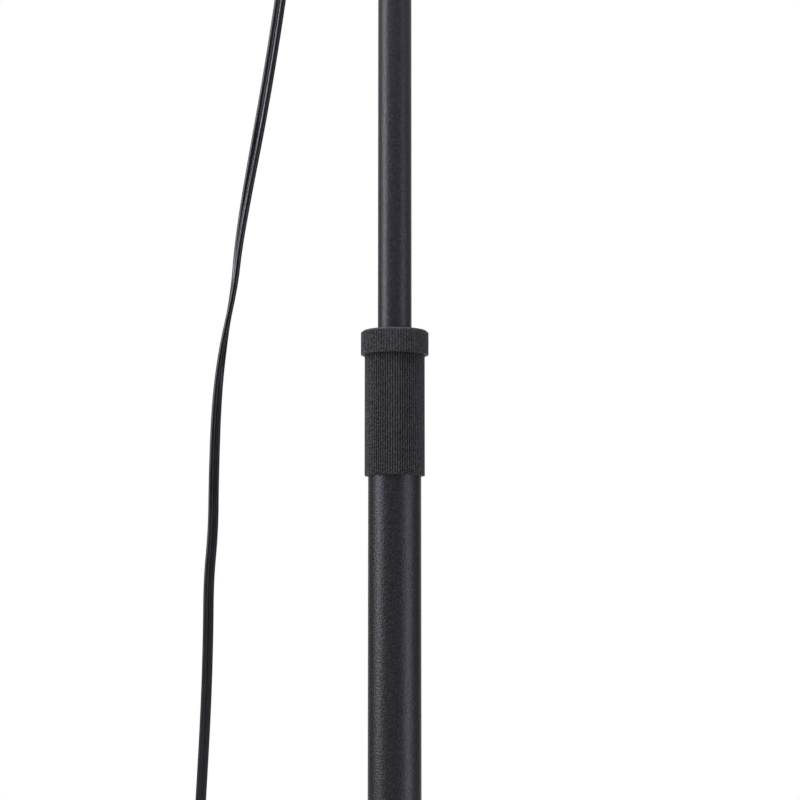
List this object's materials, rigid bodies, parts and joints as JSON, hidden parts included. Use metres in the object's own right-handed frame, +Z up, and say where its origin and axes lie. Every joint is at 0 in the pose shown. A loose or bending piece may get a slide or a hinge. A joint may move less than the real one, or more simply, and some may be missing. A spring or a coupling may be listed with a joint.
{
  "type": "adjustable floor lamp",
  "caption": "Floor lamp with a weighted round foot, a two-tube pole that slides and locks by a ribbed twist collar, a tilting arm, a domed shade and a flat cord.",
  "frame": {"origin": "centre of the foot's underside, on the floor", "axes": "+Z up along the pole, +X the way the arm reaches, -Y the side seen in the picture"},
  "size_m": [0.4836, 0.3279, 1.4539],
  "materials": {
    "black_coat": "satin black powder coat on steel",
    "shade_coat": "spun aluminium with the same satin black coat",
    "lock_plastic": "moulded black nylon",
    "collet_plastic": "natural acetal",
    "washer_plastic": "natural nylon",
    "knob_plastic": "moulded black plastic",
    "holder_plastic": "black phenolic moulding",
    "bulb_opal": "opal diffuser",
    "plain_steel": "zinc plated",
    "insert_brass": "turned brass",
    "blade_brass": "nickel plated brass",
    "weight_iron": "rough cast",
    "pad_rubber": "matt rubber sheet",
    "cord_rubber": "soft black vinyl",
    "plug_plastic": "moulded black vinyl",
    "tie_plastic": "black strap"
  },
  "bodies": {
    "stand": {"base_pad": "pad_rubber", "base_weight": "weight_iron", "base_cover": "black_coat", "base_washer": "plain_steel", "base_bolt": "plain_steel", "foot_plug": "plain_steel", "foot_ring": "black_coat", "lower_tube": "black_coat", "lock_ferrule": "lock_plastic", "collet": "collet_plastic", "cord_drop": "cord_rubber", "cord_coil": "cord_rubber", "cord_tail": "cord_rubber", "cord_tie": "tie_plastic", "plug_body": "plug_plastic", "plug_blades": "blade_brass"},
    "collar": {"lock_collar": "lock_plastic", "thrust_washer": "plain_steel"},
    "mast": {"upper_tube": "black_coat", "guide_bush": "collet_plastic", "bush_pin": "plain_steel", "top_insert": "black_coat", "cord_boot": "cord_rubber"},
    "neck": {"neck_fork": "black_coat", "neck_clip": "plain_steel", "arm_washers": "washer_plastic"},
    "arm": {"arm_root": "black_coat", "arm_tube": "black_coat", "arm_lead": "cord_rubber", "arm_fork": "black_coat", "head_washers": "washer_plastic"},
    "arm_clamp": {"arm_knob": "knob_plastic", "arm_stud": "plain_steel"},
    "head": {"head_tongue": "black_coat", "cap_nipple": "insert_brass", "cap_nut": "plain_steel", "socket_cap": "black_coat", "lampholder": "holder_plastic", "shade": "shade_coat", "shade_ring": "holder_plastic", "bulb": "bulb_opal"},
    "head_clamp": {"head_knob": "knob_plastic", "head_stud": "plain_steel"},
    "switch": {"switch_knob": "knob_plastic", "switch_stem": "plain_steel"}
  },
  "joints": [
    {"name": "collar_twist", "type": "hinge", "parent": "stand", "child": "collar", "pos_m": [0, 0, 0.77], "axis": [0, 0, 1], "range_deg": [0, 180]},
    {"name": "height_slide", "type": "slide", "parent": "stand", "child": "mast", "axis": [0, 0, 1], "range_m": [-0.42, 0.12], "deforming": ["cord_drop"]},
    {"name": "neck_swivel", "type": "hinge", "parent": "mast", "child": "neck", "pos_m": [0, 0, 1.303], "axis": [0, 0, 1], "range_deg": [-120, 120]},
    {"name": "arm_tilt", "type": "hinge", "parent": "neck", "child": "arm", "pos_m": [0, 0, 1.33205], "axis": [0, -1, 0], "range_deg": [-50, 50]},
    {"name": "arm_knob_turn", "type": "hinge", "parent": "neck", "child": "arm_clamp", "pos_m": [0, 0, 1.33205], "axis": [0, -1, 0], "range_deg": [0, 180]},
    {"name": "head_tilt", "type": "hinge", "parent": "arm", "child": "head", "pos_m": [0.23564, 0, 1.44193], "axis": [0, -1, 0], "range_deg": [-10, 90]},
    {"name": "head_knob_turn", "type": "hinge", "parent": "arm", "child": "head_clamp", "pos_m": [0.23564, 0, 1.44193], "axis": [0, -1, 0], "range_deg": [0, 180]},
    {"name": "switch_turn", "type": "hinge", "parent": "head", "child": "switch", "pos_m": [0.23564, 0, 1.38693], "axis": [0, -1, 0], "continuous": true}
  ]
}
